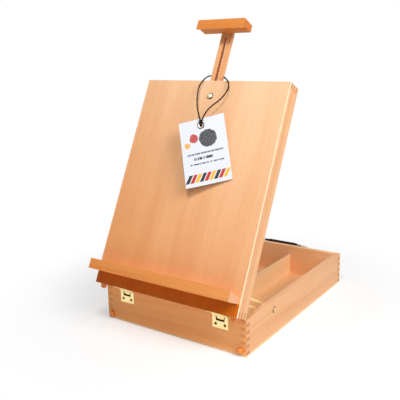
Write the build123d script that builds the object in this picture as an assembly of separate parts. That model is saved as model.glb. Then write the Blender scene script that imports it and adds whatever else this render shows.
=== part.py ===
from build123d import *
import os
from math import atan2, cos, degrees, hypot, radians, sin, tan

# Pochade box: a shallow wooden case whose lid opens about the near edge and is the easel.
# X runs across the case, Y from the hinge side to the handle side, Z up. The origin is the centre
# of the underside. All lengths are millimetres and all angles degrees.
# Lid pieces are drawn in lid coordinates: X, then the distance along the lid from its near edge,
# then the height above its rim. place_on_lid() moves them to the raised lid.

# ---------------------------------------------------------------- case
case_width = 300.0
case_depth = 396.0
wall = 11.0
box_wall_height = 61.5
floor_thickness = 3.0
box_fingers = 10
lid_wall_height = 28.5
panel_thickness = 4.0
lid_fingers = 6
lid_open_angle = 63.4
lid_max_angle = 70.0

divider_x = 37.3
divider_thickness = 3.0
divider_height = 43.5
groove_depth = 3.0
groove_clearance = 0.1

box_height = floor_thickness + box_wall_height
lid_height = lid_wall_height + panel_thickness
near_face = -case_depth / 2
far_face = case_depth / 2
inner_half_width = case_width / 2 - wall

# ---------------------------------------------------------------- fasteners
screw_head_radius = 2.6
screw_head_height = 1.8
screw_shank_radius = 1.3
recess_depth = 0.8
recess_width = 0.7
bolt_radius = 2.4
bolt_head_radius = 6.2
bolt_head_height = 3.2
bolt_neck = 5.6
bolt_neck_height = 2.6
bolt_clearance = 0.1
washer_radius = 7.5
washer_thickness = 1.2
nut_clearance = 0.05
nut_hub_radius = 5.2
nut_hub_top_radius = 4.2
nut_hub_height = 7.0
nut_wing_reach = 13.0
nut_wing_height = 10.5
nut_wing_radius = 2.6
nut_wing_thickness = 2.0
bolt_end_length = 2.5
seat_gap = 0.1

# ---------------------------------------------------------------- canvas ledge
ledge_low = 21.6
ledge_height = 18.3
ledge_reach = 32.2
ledge_inset = 3.5
rest_lip_width = 11.5
rest_lip_height = 5.4
ledge_screw_spacing = 110.0
ledge_screw_length = 18.0

# ---------------------------------------------------------------- mast and head block
mast_x = -1.6
mast_width = 23.0
mast_thickness = 7.5
mast_clearance = 0.3
mast_low = 235.0
mast_slot_width = 5.2
mast_slot_low = 250.0
mast_slot_high = 482.4
mast_bolt_along = 366.3
head_width = 98.0
head_depth = 29.0
head_height = 18.4
head_top = 503.2
head_screw_spacing = 14.0
head_screw_length = 22.0

# ---------------------------------------------------------------- stop hinges
hinge_from_end = 49.0
hinge_x = case_width / 2 - hinge_from_end
pin_offset = 2.0
hinge_pin_radius = 1.0
pin_clearance = 0.05
knuckle_radius = 1.9
knuckle_gap = 0.2
middle_knuckle = 18.0
leaf_width = 31.0
leaf_thickness = 1.2
box_leaf_height = 24.5
lid_leaf_height = 20.0
leaf_relief = 0.4
tongue_length = 9.2
tongue_tip_width = 11.5
tongue_room = 2.4
tongue_bend = 25.0
pocket_depth = 3.0
stop_play = 1.0
leaf_screw_x = 9.0
box_leaf_screw_drop = 17.5
lid_leaf_screw_rise = 12.5
leaf_screw_length = 9.5

# ---------------------------------------------------------------- stays
stay_pivot_along = 31.0
stay_pivot_above = 16.0
stay_bolt_back = 96.6
stay_bolt_height = 48.0
stay_thickness = 1.5
stay_gap = 0.4
stay_edge = 3.5
stay_slot_start = 34.0
stay_play = 0.1
bolt_waist_radius = 0.9
shoulder_radius = 2.5
pivot_head_radius = 4.5
pivot_head_height = 1.2
pivot_thread_radius = 1.6
pivot_thread_length = 8.0

# ---------------------------------------------------------------- handle
handle_pivot_x = 54.0
handle_pivot_height = 58.0
handle_pivot_back = 8.5
handle_drop = 17.0
handle_angle = -7.5
grip_radius = 5.5
grip_bend = 10.0
grip_shoulder = 12.0
arm_radius = 4.6
eye_radius = 5.6
eye_length = 9.0
handle_pin_radius = 2.0
ear_thickness = 2.0
ear_radius = 8.0
ear_gap = 0.3
bracket_width = 15.0
bracket_thickness = 2.0
bracket_height = 26.0
bracket_screw_length = 9.0

# ---------------------------------------------------------------- hook latches
latch_from_end = 40.0
latch_x = case_width / 2 - latch_from_end
latch_rivet_above = 12.0
latch_stud_below = 12.0
latch_plate = 1.2
latch_gap = 0.3
latch_width = 10.0
latch_notch = 0.3
stud_radius = 2.0
stud_head_radius = 4.2
stud_head_height = 1.4
stud_depth = 7.0

# ---------------------------------------------------------------- feet
foot_radius = 5.5
foot_stand = 3.0
foot_from_end = 10.5
foot_x = case_width / 2 - foot_from_end
box_foot_height = 10.5
lid_foot_above = 20.0

# ---------------------------------------------------------------- hanging tag
tag_width = 83.5
tag_height = 120.5
tag_thickness = 0.5
tag_x = 25.2
tag_along = 261.1
tag_gap = 0.3
tag_turn = 21.5
tag_swing = 12.0
eyelet_x = -1.7
eyelet_from_top = 12.2
eyelet_bore = 2.5
eyelet_barrel = 3.0
eyelet_flange = 6.6
eyelet_flange_thickness = 0.25
cord_diameter = 2.2
knot_radius = 2.7
knot_offset = 6.3
link_radius = 0.9
stopper_radius = 2.8

# The cord's route from the knot, round behind the mast and back, in lid coordinates.
cord_route = [
    (4.7, 313.5, 52.6),
    (-6.5, 329.0, 49.8),
    (-15.8, 346.5, 46.8),
    (-21.8, 364.0, 43.6),
    (-25.4, 379.5, 40.1),
    (-24.0, 392.6, 36.6),
    (-20.6, 401.0, 33.2),
    (-17.6, 407.0, 28.2),
    (-16.5, 409.8, 22.3),
    (-12.4, 410.2, 18.3),
    (-5.0, 409.6, 17.8),
    (2.0, 408.8, 17.8),
    (9.2, 407.8, 18.3),
    (13.3, 406.8, 22.3),
    (14.8, 405.0, 27.8),
    (19.9, 401.6, 31.6),
    (27.6, 396.6, 34.7),
    (34.9, 387.6, 37.0),
    (36.9, 376.6, 39.5),
    (33.6, 363.9, 42.2),
    (27.0, 354.0, 44.1),
    (18.6, 345.4, 45.7),
    (11.7, 336.4, 47.6),
    (8.2, 325.6, 49.8),
    (7.1, 313.9, 52.6),
]

# ---------------------------------------------------------------- frames
hinge_axis = Axis((0, near_face - pin_offset, box_height), (1, 0, 0))
panel_inner = lid_wall_height
panel_outer = lid_height
mast_front = panel_inner - mast_clearance
mast_back = mast_front - mast_thickness
stay_outer = inner_half_width - stay_gap
stay_inner = stay_outer - stay_thickness


def place_on_lid(piece):
    """Move a piece from lid coordinates to the raised lid."""
    closed = Pos(0, near_face, box_height) * piece
    return closed.rotate(hinge_axis, lid_open_angle)


def mirrored(piece):
    return mirror(piece, about=Plane.YZ)


def ring(outer, inner, height):
    return Cylinder(outer, height) - Cylinder(inner, height)


def without(piece, *others):
    for other in others:
        piece = piece - other
    return piece


def save(name, *solids):
    shape = solids[0] if len(solids) == 1 else Compound(children=list(solids))
    export_step(shape, f"parts/{name}.step")


# ---------------------------------------------------------------- fasteners
def screw_body(length):
    """A countersunk wood screw whose head is flush with Z = 0 and whose point is down."""
    rise = screw_head_height
    head = Pos(0, 0, -rise / 2) * Cone(screw_shank_radius, screw_head_radius, rise)
    shank_length = length - rise - 2 * screw_shank_radius
    shank = Pos(0, 0, -rise - shank_length / 2) * Cylinder(screw_shank_radius, shank_length)
    point = Pos(0, 0, -length + screw_shank_radius) * Cone(0.2, screw_shank_radius, 2 * screw_shank_radius)
    return head + shank + point


def screw(length):
    """The same screw with a cross recess in its head."""
    bar = Pos(0, 0, -recess_depth / 2) * Box(1.3 * screw_head_radius, recess_width, recess_depth)
    return screw_body(length) - bar - Rot(0, 0, 90) * bar


def carriage_bolt(length, waist_start=0.0, waist_end=0.0):
    """A domed bolt: the head's seat is at Z = 0 and the shank goes down.

    A waist between two depths gives room to whatever slides past there.
    """
    ball_radius = (bolt_head_radius**2 + bolt_head_height**2) / (2 * bolt_head_height)
    ball = Pos(0, 0, bolt_head_height - ball_radius) * Sphere(ball_radius)
    dome = ball & Pos(0, 0, ball_radius) * Box(4 * ball_radius, 4 * ball_radius, 2 * ball_radius)
    neck = Pos(0, 0, -bolt_neck_height / 2) * Box(bolt_neck, bolt_neck, bolt_neck_height)
    shank = Pos(0, 0, -length / 2) * Cylinder(bolt_radius, length)
    bolt = dome + neck + shank
    if waist_end > waist_start:
        height = waist_end - waist_start
        bolt -= Pos(0, 0, -(waist_start + waist_end) / 2) * ring(2 * bolt_radius, bolt_waist_radius, height)
    return bolt


def bolt_hole(depth):
    """The hole that a carriage bolt needs in wood of this thickness, open above and below."""
    hole = Pos(0, 0, -depth / 2) * Cylinder(bolt_radius + bolt_clearance, depth)
    return hole + Pos(0, 0, -bolt_neck_height / 2) * Box(bolt_neck, bolt_neck, bolt_neck_height)


def washer():
    """A washer that lies under Z = 0."""
    return Pos(0, 0, -washer_thickness / 2) * ring(washer_radius, bolt_radius + bolt_clearance, washer_thickness)


def wing_nut():
    """A wing nut whose seat is at Z = 0 and whose wings point down."""
    hub = Pos(0, 0, -nut_hub_height / 2) * Cone(nut_hub_top_radius, nut_hub_radius, nut_hub_height)
    tip_x = nut_wing_reach - nut_wing_radius
    tip_z = nut_wing_height - nut_wing_radius
    outline = Sketch()
    for side in (-1, 1):
        root = Pos(side * nut_hub_top_radius / 2, -nut_hub_height / 2) * Rectangle(
            nut_hub_top_radius, nut_hub_height - 2
        )
        tip = Pos(side * tip_x, -tip_z) * Circle(nut_wing_radius)
        outline += make_hull(root.edges() + tip.edges())
    wings = Rot(90, 0, 0) * extrude(outline, nut_wing_thickness / 2, both=True)
    bore = Pos(0, 0, -nut_wing_height / 2) * Cylinder(bolt_radius + nut_clearance, 2 * nut_wing_height)
    return hub + wings - bore


# ---------------------------------------------------------------- finger-jointed boards
def jointed_board(length, outer, inner, fingers, first_gap):
    """A board along X from level outer to level inner, with gaps for its neighbours' fingers."""
    pitch = (inner - outer) / fingers
    board = Pos(0, 0, (outer + inner) / 2) * Box(length, wall, abs(inner - outer))
    for k in range(first_gap, fingers, 2):
        level = outer + (k + 0.5) * pitch
        for end in (-1, 1):
            board -= Pos(end * (length - wall) / 2, 0, level) * Box(wall, wall, abs(pitch))
    return board


def cross_board(low_y, outer, inner, fingers):
    """A near or far board: it keeps the first finger, counted from the outer level."""
    return Pos(0, low_y + wall / 2, 0) * jointed_board(case_width, outer, inner, fingers, 1)


def side_board(outer, inner, fingers, centre_y):
    """The right-hand board: it keeps the second finger."""
    board = Rot(0, 0, 90) * jointed_board(case_depth, outer, inner, fingers, 0)
    return Pos(case_width / 2 - wall / 2, centre_y, 0) * board


# ---------------------------------------------------------------- stop hinge pieces
def tongue_notch(depth):
    """The room round the tongue, from in front of the pin to a depth behind it."""
    top = middle_knuckle / 2 + knuckle_gap
    bottom = tongue_tip_width / 2 + tongue_room
    low = tongue_length + tongue_room
    outline = Polygon((-top, 0), (top, 0), (bottom, -low), (-bottom, -low), align=None)
    return extrude(Plane.XZ * outline, depth, dir=(0, 1, 0))


def hinge_box_leaf():
    """The leaf on the box, with its two end knuckles; the pin runs along X through the origin."""
    plate_y = pin_offset - leaf_thickness / 2
    plate = Pos(0, plate_y, -box_leaf_height / 2) * Box(leaf_width, leaf_thickness, box_leaf_height)
    gap_width = middle_knuckle + 2 * knuckle_gap
    plate -= Box(gap_width, 4 * pin_offset, 2 * (knuckle_radius + leaf_relief))
    plate -= tongue_notch(2 * pin_offset)
    end_length = (leaf_width - gap_width) / 2
    for side in (-1, 1):
        centre = side * (gap_width + end_length) / 2
        plate += Pos(centre, 0, 0) * Rot(0, 90, 0) * Cylinder(knuckle_radius, end_length)
    return plate - Rot(0, 90, 0) * Cylinder(hinge_pin_radius, 2 * leaf_width)


def hinge_lid_leaf():
    """The leaf on the closed lid, with the middle knuckle and the tongue that stops the lid.

    The tongue bends inward, through the other leaf's notch, to the floor of the wall's pocket.
    """
    plate_y = pin_offset - leaf_thickness / 2
    plate = Pos(0, plate_y, lid_leaf_height / 2) * Box(leaf_width, leaf_thickness, lid_leaf_height)
    for side in (-1, 1):
        centre = side * (middle_knuckle + leaf_width) / 2
        plate -= Pos(centre, 0, 0) * Box(leaf_width, 4 * pin_offset, 2 * (knuckle_radius + leaf_relief))
    knuckle = Rot(0, 90, 0) * Cylinder(knuckle_radius, middle_knuckle)
    outline = Polygon(
        (-middle_knuckle / 2, 0),
        (middle_knuckle / 2, 0),
        (tongue_tip_width / 2, -tongue_length),
        (-tongue_tip_width / 2, -tongue_length),
        align=None,
    )
    tongue_front = pin_offset - 2 * leaf_thickness
    tongue = extrude(Plane.XZ * outline, leaf_thickness, dir=(0, 1, 0))
    tongue = Pos(0, tongue_front, 0) * tongue
    tongue = tongue.rotate(Axis.X, tongue_bend - lid_max_angle - stop_play)
    bore = Rot(0, 90, 0) * Cylinder(hinge_pin_radius + pin_clearance, 2 * leaf_width)
    return plate + knuckle + tongue - bore


def on_hinge(piece):
    """Move a piece from hinge coordinates to the right-hand hinge of the box."""
    return Pos(hinge_x, near_face - pin_offset, box_height) * piece


def on_lid_hinge(piece):
    """Move a piece from hinge coordinates to the right-hand hinge of the raised lid."""
    return on_hinge(piece).rotate(hinge_axis, lid_open_angle)


def leaf_screws(level, make):
    """Two screws through a leaf; they point along +Y and lie flush with the leaf."""
    face = pin_offset - leaf_thickness
    return [Pos(side * leaf_screw_x, face, level) * Rot(90, 0, 0) * make(leaf_screw_length) for side in (-1, 1)]


# ---------------------------------------------------------------- stays
def lid_point(along, above, angle):
    """Y and Z of a point of the lid when the lid is raised by an angle."""
    turn = radians(angle)
    reach = along + pin_offset
    y = near_face - pin_offset + reach * cos(turn) - above * sin(turn)
    z = box_height + reach * sin(turn) + above * cos(turn)
    return y, z


bolt_y = near_face + stay_bolt_back
bolt_z = stay_bolt_height
lid_angles = [lid_max_angle * step / 40 for step in range(41)]
stay_lines = []
for lid_angle in lid_angles:
    pivot_y, pivot_z = lid_point(stay_pivot_along, stay_pivot_above, lid_angle)
    stay_lines.append((hypot(bolt_y - pivot_y, bolt_z - pivot_z), atan2(bolt_z - pivot_z, bolt_y - pivot_y)))

# The stay keeps one slope while the lid swings, so the bolt wanders a little across its slot.
# Its slope is the one at which the bolt wanders as far to one side as to the other.
stay_slope = stay_lines[0][1]
for _ in range(8):
    offsets = [reach * sin(slope - stay_slope) for reach, slope in stay_lines]
    stay_slope += (max(offsets) + min(offsets)) / (2 * stay_lines[0][0])
stay_wander = max(abs(reach * sin(slope - stay_slope)) for reach, slope in stay_lines)
stay_slot_width = 2 * (bolt_waist_radius + stay_wander + stay_play)
stay_width = stay_slot_width + 2 * stay_edge
stay_slot_end = max(reach for reach, _ in stay_lines)
stay_length = stay_slot_end + stay_width / 2


def stay():
    """The right-hand stay, from its pivot at the origin along +X, as thick as +Z."""
    strap = SlotCenterToCenter(stay_slot_end, stay_width)
    slot = SlotCenterToCenter(stay_slot_end - stay_slot_start, stay_slot_width)
    outline = Pos(stay_slot_end / 2, 0) * strap - Circle(shoulder_radius + pin_clearance)
    outline -= Pos((stay_slot_start + stay_slot_end) / 2, 0) * slot
    pivot_y, pivot_z = lid_point(stay_pivot_along, stay_pivot_above, lid_open_angle)
    direction = (0, cos(stay_slope), sin(stay_slope))
    plane = Plane(origin=(stay_inner, pivot_y, pivot_z), x_dir=direction, z_dir=(1, 0, 0))
    return plane * extrude(outline, stay_thickness)


def stay_pivot_screw():
    """A shoulder screw into the lid's side wall, in lid coordinates; its axis is X."""
    head_x = stay_inner - seat_gap - pivot_head_height
    shoulder = inner_half_width - head_x - pivot_head_height
    at = Pos(head_x, stay_pivot_along, stay_pivot_above) * Rot(0, 90, 0)
    head = Pos(0, 0, pivot_head_height / 2) * Cylinder(pivot_head_radius, pivot_head_height)
    neck = Pos(0, 0, pivot_head_height + shoulder / 2) * Cylinder(shoulder_radius, shoulder)
    thread_start = pivot_head_height + shoulder
    thread = Pos(0, 0, thread_start + pivot_thread_length / 2) * Cylinder(pivot_thread_radius, pivot_thread_length)
    slot = Pos(0, 0, recess_depth / 4) * Box(3 * pivot_head_radius, recess_width, recess_depth / 2)
    return at * (head + neck + thread - slot)


# ---------------------------------------------------------------- box
at_stay_bolt = Pos(case_width / 2, bolt_y, bolt_z) * Rot(0, 90, 0)
stay_washer_seat = stay_inner - stay_gap + seat_gap
side_nut_seat = stay_washer_seat - washer_thickness - seat_gap
side_bolt_length = case_width / 2 - side_nut_seat + nut_hub_height + bolt_end_length
box_bolt_right = at_stay_bolt * carriage_bolt(
    side_bolt_length, case_width / 2 - inner_half_width, case_width / 2 - stay_washer_seat
)
stay_washer_right = Pos(stay_washer_seat, bolt_y, bolt_z) * Rot(0, 90, 0) * washer()
wing_nut_right = Pos(side_nut_seat, bolt_y, bolt_z) * Rot(0, 90, 0) * Rot(0, 0, 90) * wing_nut()

box_leaf_right = on_hinge(hinge_box_leaf())
box_leaf_cutters = [on_hinge(body) for body in leaf_screws(-box_leaf_screw_drop, screw_body)]
box_leaf_screws = [on_hinge(piece) for piece in leaf_screws(-box_leaf_screw_drop, screw)]
hinge_pin_right = on_hinge(Rot(0, 90, 0) * Cylinder(hinge_pin_radius, leaf_width))

divider_length = case_depth - 2 * wall + 2 * (groove_depth - groove_clearance)
divider = Pos(divider_x, 0, floor_thickness + divider_height / 2) * Box(
    divider_thickness, divider_length, divider_height
)
groove = Pos(divider_x, 0, floor_thickness + (divider_height + groove_clearance) / 2) * Box(
    divider_thickness + 2 * groove_clearance,
    case_depth - 2 * wall + 2 * groove_depth,
    divider_height + groove_clearance,
)

box_floor = Pos(0, 0, floor_thickness / 2) * Box(case_width, case_depth, floor_thickness)
box_near_wall = cross_board(near_face, floor_thickness, box_height, box_fingers)
hinge_pocket = on_hinge(tongue_notch(pin_offset + pocket_depth))
box_near_wall = without(box_near_wall, groove, hinge_pocket, mirrored(hinge_pocket))
box_near_wall = without(box_near_wall, *box_leaf_cutters, *[mirrored(body) for body in box_leaf_cutters])
box_right_wall = side_board(floor_thickness, box_height, box_fingers, 0) - at_stay_bolt * bolt_hole(wall)
box_left_wall = mirrored(box_right_wall)

foot = Pos(0, -foot_stand, 0) * Sphere(foot_radius) + Pos(0, -foot_stand / 2, 0) * Rot(90, 0, 0) * Cylinder(
    foot_radius, foot_stand
)
foot &= Pos(0, -foot_stand - foot_radius, 0) * Box(
    4 * foot_radius, 2 * (foot_stand + foot_radius), 4 * foot_radius
)
box_feet = [Pos(side * foot_x, near_face, box_foot_height) * foot for side in (-1, 1)]

# ---------------------------------------------------------------- handle
at_handle = Pos(0, far_face + handle_pivot_back, handle_pivot_height)
grip_path = FilletPolyline(
    (-handle_pivot_x, 0, 0),
    (-handle_pivot_x + grip_shoulder, handle_drop, 0),
    (handle_pivot_x - grip_shoulder, handle_drop, 0),
    (handle_pivot_x, 0, 0),
    radius=grip_bend,
)
grip_section = Plane(origin=grip_path @ 0, z_dir=grip_path % 0) * Circle(arm_radius)
handle_grip = sweep(grip_section, path=grip_path)
bar_length = 2 * (handle_pivot_x - grip_shoulder - grip_bend)
handle_grip += Pos(0, handle_drop, 0) * Rot(0, 90, 0) * Cylinder(grip_radius, bar_length)
for side in (-1, 1):
    handle_grip += Pos(side * handle_pivot_x, 0, 0) * Rot(0, 90, 0) * Cylinder(eye_radius, eye_length)
handle_grip -= Rot(0, 90, 0) * Cylinder(handle_pin_radius + pin_clearance, 4 * handle_pivot_x)
ear_inner = handle_pivot_x + eye_length / 2 + ear_gap
ear_centre = ear_inner + ear_thickness / 2
handle_grip &= Box(2 * (handle_pivot_x + eye_length / 2), 8 * handle_drop, 8 * handle_drop)
handle_grip = at_handle * Rot(handle_angle, 0, 0) * handle_grip


def handle_bracket():
    """The right-hand bracket: a screwed plate with one ear that holds the pin."""
    plate_x = ear_inner + bracket_width / 2
    plate_z = handle_pivot_height - bracket_height / 2 + ear_radius
    plate = Pos(plate_x, far_face + bracket_thickness / 2, plate_z) * Box(
        bracket_width, bracket_thickness, bracket_height
    )
    arm = Pos(ear_centre, far_face + handle_pivot_back / 2, handle_pivot_height) * Box(
        ear_thickness, handle_pivot_back, 2 * ear_radius
    )
    tip = at_handle * Pos(ear_centre, 0, 0) * Rot(0, 90, 0) * Cylinder(ear_radius, ear_thickness)
    hole = at_handle * Rot(0, 90, 0) * Cylinder(handle_pin_radius, 4 * handle_pivot_x)
    return plate + arm + tip - hole


def bracket_screws(make):
    """Two screws per bracket, in one column."""
    screw_x = ear_inner + ear_thickness + (bracket_width - ear_thickness) / 2
    mid_z = handle_pivot_height + ear_radius - bracket_height / 2
    spread = bracket_height / 2 - screw_head_radius - bracket_thickness
    found = []
    for level in (mid_z - spread, mid_z + spread - ear_radius / 2):
        at = Pos(screw_x, far_face + bracket_thickness, level) * Rot(-90, 0, 0)
        found.append(at * make(bracket_screw_length))
    return found


bracket_cutters = bracket_screws(screw_body)
bracket_cutters += [mirrored(body) for body in bracket_cutters]
bracket_right = without(handle_bracket(), *bracket_cutters)
pin_length = eye_length + 2 * ear_gap + 2 * ear_thickness
handle_pin_right = at_handle * Pos(ear_inner + ear_thickness - pin_length / 2, 0, 0) * Rot(0, 90, 0) * Cylinder(
    handle_pin_radius, pin_length
)

# ---------------------------------------------------------------- latch pieces
latch_reach = latch_rivet_above + latch_stud_below
stud_stand = latch_gap + latch_plate + latch_gap


def latch_stud():
    """A headed stud that stands out along +Y from Y = 0."""
    neck_length = stud_depth + stud_stand
    neck = Pos(0, neck_length / 2 - stud_depth, 0) * Rot(90, 0, 0) * Cylinder(stud_radius, neck_length)
    head = Pos(0, stud_stand + stud_head_height / 2, 0) * Rot(90, 0, 0) * Cylinder(stud_head_radius, stud_head_height)
    return neck + head


def latch_hook():
    """The right-hand hook in the plane Y = 0, its pivot at the origin, swung aside along +X."""
    bar = Pos(latch_reach / 2, 0) * SlotCenterToCenter(latch_reach, latch_width)
    track = Circle(latch_reach + stud_radius + latch_notch) - Circle(latch_reach - stud_radius - latch_notch)
    track &= Pos(latch_reach, -latch_width) * Rectangle(4 * stud_radius, 2 * latch_width)
    bar -= track
    bar -= Pos(latch_reach, 0) * Circle(stud_radius + latch_notch)
    bar -= Circle(stud_radius + pin_clearance)
    return Pos(0, latch_gap, 0) * extrude(Plane.XZ * bar, -latch_plate)


latch_stud_right = Pos(latch_x, far_face, box_height - latch_stud_below) * latch_stud()
latch_rivet_right = Pos(latch_x, case_depth, latch_rivet_above) * latch_stud()
latch_hook_right = place_on_lid(Pos(latch_x, case_depth, latch_rivet_above) * latch_hook())

box_back_wall = cross_board(far_face - wall, floor_thickness, box_height, box_fingers)
box_back_wall = without(
    box_back_wall, groove, latch_stud_right, mirrored(latch_stud_right), *bracket_cutters
)

# ---------------------------------------------------------------- lid, in lid coordinates
lid_middle = case_depth / 2
hinge_to_lid = Pos(hinge_x, -pin_offset, 0)
lid_leaf_cutters = [hinge_to_lid * body for body in leaf_screws(lid_leaf_screw_rise, screw_body)]
lid_leaf_screws = [on_lid_hinge(piece) for piece in leaf_screws(lid_leaf_screw_rise, screw)]
lid_near_wall = cross_board(0, lid_wall_height, 0, lid_fingers)
lid_near_wall = without(lid_near_wall, *lid_leaf_cutters, *[mirrored(body) for body in lid_leaf_cutters])
lid_side = side_board(lid_wall_height, 0, lid_fingers, lid_middle) - stay_pivot_screw()
lid_feet = [Pos(side * foot_x, 0, lid_foot_above) * foot for side in (-1, 1)]

mast_gate_height = mast_thickness + 2 * mast_clearance
mast_gate = Pos(mast_x, case_depth - wall / 2, panel_inner - mast_gate_height / 2) * Box(
    mast_width + 2 * mast_clearance, wall, mast_gate_height
)
lid_top_wall = cross_board(case_depth - wall, lid_wall_height, 0, lid_fingers)
lid_top_wall = without(lid_top_wall, mast_gate, latch_rivet_right, mirrored(latch_rivet_right))

at_mast_bolt = Pos(mast_x, mast_bolt_along, panel_outer)
mast_washer_seat = mast_back - seat_gap
mast_nut_seat = mast_washer_seat - washer_thickness - seat_gap
mast_bolt_length = panel_outer - mast_nut_seat + nut_hub_height + bolt_end_length
mast_bolt = at_mast_bolt * carriage_bolt(mast_bolt_length)
mast_washer = Pos(mast_x, mast_bolt_along, mast_washer_seat) * washer()
mast_wing_nut = Pos(mast_x, mast_bolt_along, mast_nut_seat) * wing_nut()


def rest_bar(width, reach, height):
    """A bar along X with a sloping lip along its front top edge; its back is at Z = 0."""
    outline = Polygon(
        (0, 0),
        (reach, 0),
        (reach, height),
        (reach - rest_lip_width, height - rest_lip_height),
        (0, height - rest_lip_height),
        align=None,
    )
    return extrude(Plane(origin=(width / 2, 0, 0), x_dir=(0, 0, 1), z_dir=(-1, 0, 0)) * outline, width)


def ledge_screws(make):
    """Screws through the panel from inside the lid, in lid coordinates."""
    along = ledge_low + (ledge_height - rest_lip_height) / 2
    return [
        Pos(k * ledge_screw_spacing, along, panel_inner) * Rot(180, 0, 0) * make(ledge_screw_length)
        for k in (-1, 0, 1)
    ]


ledge_cutters = ledge_screws(screw_body)
ledge_width = case_width - 2 * ledge_inset
canvas_ledge = Pos(0, ledge_low, panel_outer) * rest_bar(ledge_width, ledge_reach, ledge_height)
canvas_ledge = without(canvas_ledge, *ledge_cutters)
lid_panel = Pos(0, lid_middle, panel_inner + panel_thickness / 2) * Box(case_width, case_depth, panel_thickness)
lid_panel = without(lid_panel, at_mast_bolt * bolt_hole(panel_thickness), *ledge_cutters)

# ---------------------------------------------------------------- mast, in lid coordinates
mast_length = head_top - mast_low
mast_centre = (head_top + mast_low) / 2
mast_depth_centre = (mast_front + mast_back) / 2
slot_centre = (mast_slot_low + mast_slot_high) / 2
slot_sketch = Rot(0, 0, 90) * SlotOverall(mast_slot_high - mast_slot_low, mast_slot_width)
mast_slot = Pos(mast_x, slot_centre, mast_back) * extrude(slot_sketch, mast_thickness)


def head_screws(make):
    """Screws through the mast from behind into the head block."""
    along = head_top - (head_height - rest_lip_height) / 2
    return [
        Pos(mast_x + side * head_screw_spacing / 2, along, mast_back) * Rot(180, 0, 0) * make(head_screw_length)
        for side in (-1, 1)
    ]


head_cutters = head_screws(screw_body)
mast = Pos(mast_x, mast_centre, mast_depth_centre) * Box(mast_width, mast_length, mast_thickness)
mast = without(mast, mast_slot, *head_cutters)
head_bar = mirror(rest_bar(head_width, head_depth, head_height), about=Plane.XZ)
head_block = Pos(mast_x, head_top, mast_front) * head_bar
head_block = without(head_block, *head_cutters)

# ---------------------------------------------------------------- hanging tag, in lid coordinates
tag_drop = sin(radians(tag_swing)) * (
    tag_width / 2 * cos(radians(tag_turn)) + tag_height / 2 * sin(radians(tag_turn))
)
tag_above = panel_outer + tag_gap + tag_thickness / 2 + tag_drop
at_tag = Pos(tag_x, tag_along, tag_above) * Rot(0, tag_swing, 0) * Rot(0, 0, tag_turn)
at_eyelet = at_tag * Pos(eyelet_x, tag_height / 2 - eyelet_from_top, 0)
tag_card = at_tag * Box(tag_width, tag_height, tag_thickness)
tag_card -= at_eyelet * Cylinder(eyelet_barrel, 2 * tag_thickness)
eyelet_height = tag_thickness + 2 * eyelet_flange_thickness
tag_eyelet = ring(eyelet_flange, eyelet_bore, eyelet_height) - ring(2 * eyelet_flange, eyelet_barrel, tag_thickness)
tag_eyelet = at_eyelet * tag_eyelet
knot_above = knot_radius + tag_thickness / 2 + tag_gap
link_path = FilletPolyline(
    (-eyelet_x, knot_offset, knot_above),
    (0, link_radius, knot_above),
    (0, -link_radius / 2, -knot_above / 2),
    (0, -link_radius, -knot_above - stopper_radius / 2),
    radius=link_radius,
)
link = sweep(Plane(origin=link_path @ 0, z_dir=link_path % 0) * Circle(link_radius), path=link_path)
tag_knot = link + Pos(-eyelet_x, knot_offset, knot_above) * Sphere(knot_radius)
tag_knot = at_eyelet * (tag_knot + Pos(*(link_path @ 1)) * Sphere(stopper_radius))


def corner_radii(points):
    """The radius at each inner point: 0.45 of its shorter run over the tangent of half its turn."""
    radii = []
    for before, here, after in zip(points, points[1:], points[2:]):
        run_in = Vector(here) - Vector(before)
        run_out = Vector(after) - Vector(here)
        shorter = min(run_in.length, run_out.length)
        radii.append(0.45 * shorter / tan(radians(run_in.get_angle(run_out)) / 2))
    return radii


cord_radii = corner_radii(cord_route)
cord_path = FilletPolyline(*cord_route, radius=cord_radii)
cord_section = Plane(origin=cord_path @ 0, z_dir=cord_path % 0) * Circle(cord_diameter / 2)
cord_tube = sweep(cord_section, path=cord_path)
print("cord radii", [round(radius, 1) for radius in cord_radii])
print("cord volume over section times length", cord_tube.volume / (cord_section.area * cord_path.length))
tag_cord = cord_tube - tag_knot

# ---------------------------------------------------------------- write every piece
pieces = {
    "box_floor": [box_floor],
    "box_near_wall": [box_near_wall],
    "box_back_wall": [box_back_wall],
    "box_right_wall": [box_right_wall],
    "box_left_wall": [box_left_wall],
    "box_divider": [divider],
    "box_feet": box_feet,
    "box_bolt_right": [box_bolt_right],
    "box_bolt_left": [mirrored(box_bolt_right)],
    "stay_washers": [stay_washer_right, mirrored(stay_washer_right)],
    "wing_nut_right": [wing_nut_right],
    "wing_nut_left": [mirrored(wing_nut_right)],
    "hinge_box_leaf_right": [without(box_leaf_right, *box_leaf_cutters)],
    "hinge_box_leaf_left": [mirrored(without(box_leaf_right, *box_leaf_cutters))],
    "hinge_pins": [hinge_pin_right, mirrored(hinge_pin_right)],
    "hinge_box_screws": box_leaf_screws + [mirrored(piece) for piece in box_leaf_screws],
    "hinge_lid_screws": lid_leaf_screws + [mirrored(piece) for piece in lid_leaf_screws],
    "stay_right": [stay()],
    "stay_left": [mirrored(stay())],
    "handle_grip": [handle_grip],
    "handle_bracket_right": [bracket_right],
    "handle_bracket_left": [mirrored(bracket_right)],
    "handle_pins": [handle_pin_right, mirrored(handle_pin_right)],
    "handle_screws": bracket_screws(screw) + [mirrored(piece) for piece in bracket_screws(screw)],
    "latch_studs": [latch_stud_right, mirrored(latch_stud_right)],
    "latch_hook_right": [latch_hook_right],
    "latch_hook_left": [mirrored(latch_hook_right)],
}

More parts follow.
